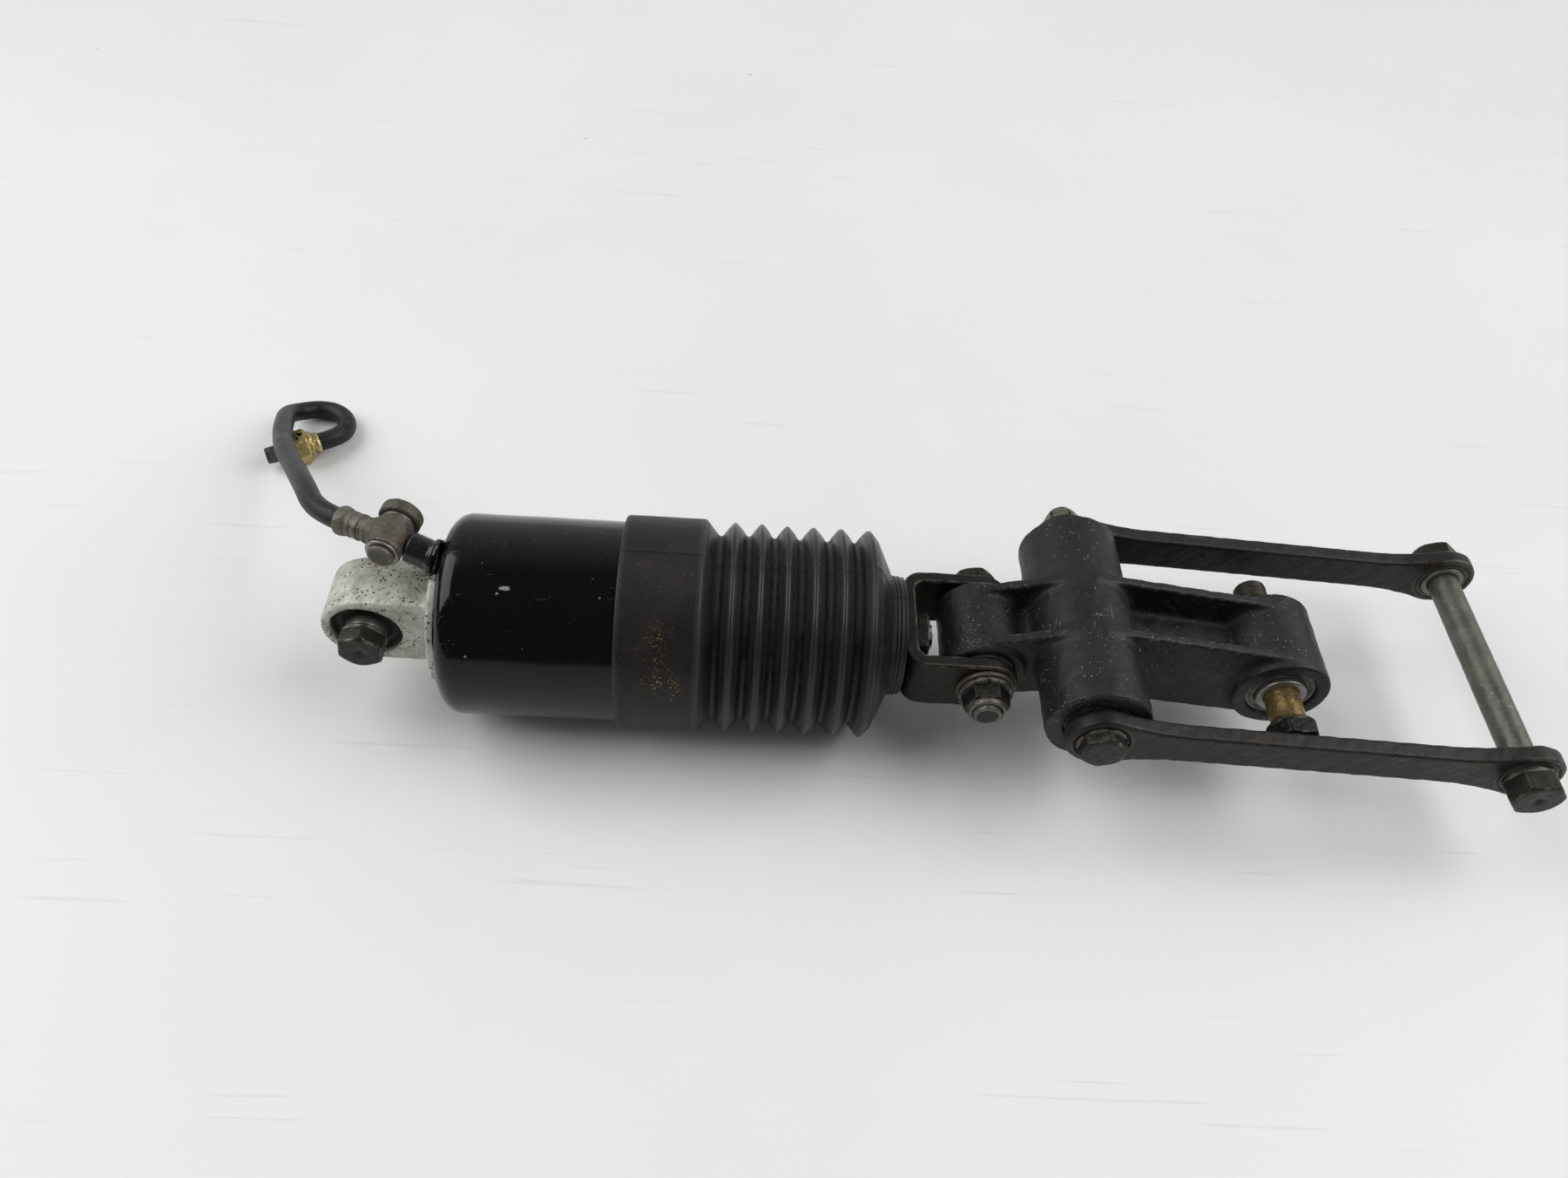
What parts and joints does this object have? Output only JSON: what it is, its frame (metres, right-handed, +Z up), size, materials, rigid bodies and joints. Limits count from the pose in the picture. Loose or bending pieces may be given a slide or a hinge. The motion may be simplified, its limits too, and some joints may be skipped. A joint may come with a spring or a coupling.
{
  "type": "rear shock absorber",
  "caption": "Air-assisted motorcycle rear shock absorber with rubber boot, clevis, rocker arm and tie rods; damps and springs a swingarm.",
  "frame": {"origin": "middle of the bottom face of the box round the hard parts, on the bench the unit lies on", "axes": "+X along the damper axis from the upper eye to the linkage, +Y along the pivot axes, +Z up"},
  "size_m": [0.5668, 0.2255, 0.0881],
  "materials": {
    "cast_aluminium": "rough cast, pitted",
    "canister_paint": "gloss black, chipped",
    "boot_rubber": "satin black, dusty",
    "bush_rubber": "matt black",
    "seal_grey": "light grey",
    "hose_rubber": "matt black, scuffed",
    "brass": "dull",
    "cap_plastic": "dark grey",
    "plain_steel": "machined",
    "chrome_rod": "hard chrome",
    "spring_steel": "grey paint",
    "pressed_steel": "black with worn brown edges",
    "dark_fastener": "dark phosphate",
    "rocker_paint": "dark cast skin",
    "link_paint": "dark forged",
    "yellow_zinc": "yellow zinc",
    "banjo_steel": "dull plated, rusty"
  },
  "bodies": {
    "canister_body": {"upper_eye_mount": "cast_aluminium", "upper_bush_rubber": "bush_rubber", "canister": "canister_paint", "damper_tube": "plain_steel", "rod_guide": "cast_aluminium", "rod_seal": "bush_rubber", "upper_spring_seat": "pressed_steel", "coil_spring": "spring_steel", "boot": "boot_rubber", "air_stub": "canister_paint", "banjo_union": "banjo_steel", "banjo_bolt": "banjo_steel", "banjo_washers": "banjo_steel", "hose_ferrule": "banjo_steel", "air_hose": "hose_rubber", "valve_fitting": "brass", "valve_core": "brass"},
    "upper_sleeve_body": {"upper_inner_sleeve": "plain_steel", "upper_bolt": "dark_fastener"},
    "free_piston_body": {"free_piston": "cast_aluminium", "free_piston_ring": "bush_rubber"},
    "valve_cap_body": {"valve_cap": "cap_plastic"},
    "rod_body": {"piston_rod": "chrome_rod", "piston": "plain_steel", "piston_ring": "bush_rubber", "piston_nut": "plain_steel", "bump_stop": "bush_rubber", "lower_spring_seat": "pressed_steel", "clevis": "pressed_steel", "rod_nut": "plain_steel", "clevis_bolt": "dark_fastener", "clevis_washer": "dark_fastener", "clevis_nut": "dark_fastener", "clevis_pivot_sleeve": "plain_steel"},
    "rocker_body": {"rocker_arm": "rocker_paint", "clevis_pivot_bearing": "plain_steel", "clevis_pivot_seals": "bush_rubber", "tie_pivot_bearings": "plain_steel", "tie_pivot_seals": "bush_rubber", "frame_pivot_bearing": "plain_steel", "frame_pivot_seals": "seal_grey"},
    "tie_rod_body": {"tie_rod_front": "link_paint", "tie_rod_back": "link_paint", "tie_pivot_sleeve": "plain_steel", "tie_pivot_bolt": "dark_fastener", "tie_pivot_nut": "dark_fastener", "tie_end_bushes": "plain_steel"},
    "far_bolt_body": {"far_bolt": "dark_fastener", "far_nut": "dark_fastener"},
    "pivot_sleeve_body": {"frame_pivot_sleeve": "plain_steel"},
    "pivot_bolt_body": {"frame_pivot_bolt": "yellow_zinc"}
  },
  "joints": [
    {"name": "damper_stroke", "type": "slide", "parent": "canister_body", "child": "rod_body", "axis": [-1, 0, 0], "range_m": [0, 0.04], "stiffness_N_per_m": 20000, "springref_m": -0.008, "deforming": ["coil_spring", "boot"]},
    {"name": "free_piston_slide", "type": "slide", "parent": "canister_body", "child": "free_piston_body", "axis": [-1, 0, 0], "range_m": [0, 0.0058]},
    {"name": "upper_bush_twist", "type": "hinge", "parent": "canister_body", "child": "upper_sleeve_body", "pos_m": [-0.2308, -0.0008, 0.0427], "axis": [0, 1, 0], "range_deg": [-15, 15], "stiffness_Nm_per_rad": 8},
    {"name": "valve_cap_turn", "type": "hinge", "parent": "canister_body", "child": "valve_cap_body", "pos_m": [-0.2934, 0.1282, 0.00815], "axis": [-0.8821, -0.4711, 0], "range_deg": [0, 1440]},
    {"name": "clevis_pivot", "type": "hinge", "parent": "rod_body", "child": "rocker_body", "pos_m": [0.0192, -0.0008, 0.0427], "axis": [0, 1, 0], "range_deg": [-55, 55]},
    {"name": "tie_rod_pivot", "type": "hinge", "parent": "rocker_body", "child": "tie_rod_body", "pos_m": [0.0602, -0.0008, 0.0517], "axis": [0, 1, 0], "range_deg": [-110, 110]},
    {"name": "far_bolt_spin", "type": "hinge", "parent": "tie_rod_body", "child": "far_bolt_body", "pos_m": [0.2347, -0.0008, 0.0421], "axis": [0, 1, 0], "continuous": true},
    {"name": "frame_pivot_spin", "type": "hinge", "parent": "rocker_body", "child": "pivot_sleeve_body", "pos_m": [0.1437, -0.0008, 0.0409], "axis": [0, 1, 0], "continuous": true},
    {"name": "frame_bolt_slide", "type": "slide", "parent": "pivot_sleeve_body", "child": "pivot_bolt_body", "axis": [0, 1, 0], "range_m": [-0.003, 0.0085]}
  ],
  "couplings": [
    {"joint": "free_piston_slide", "follows": "damper_stroke", "ratio": 0.1435}
  ]
}
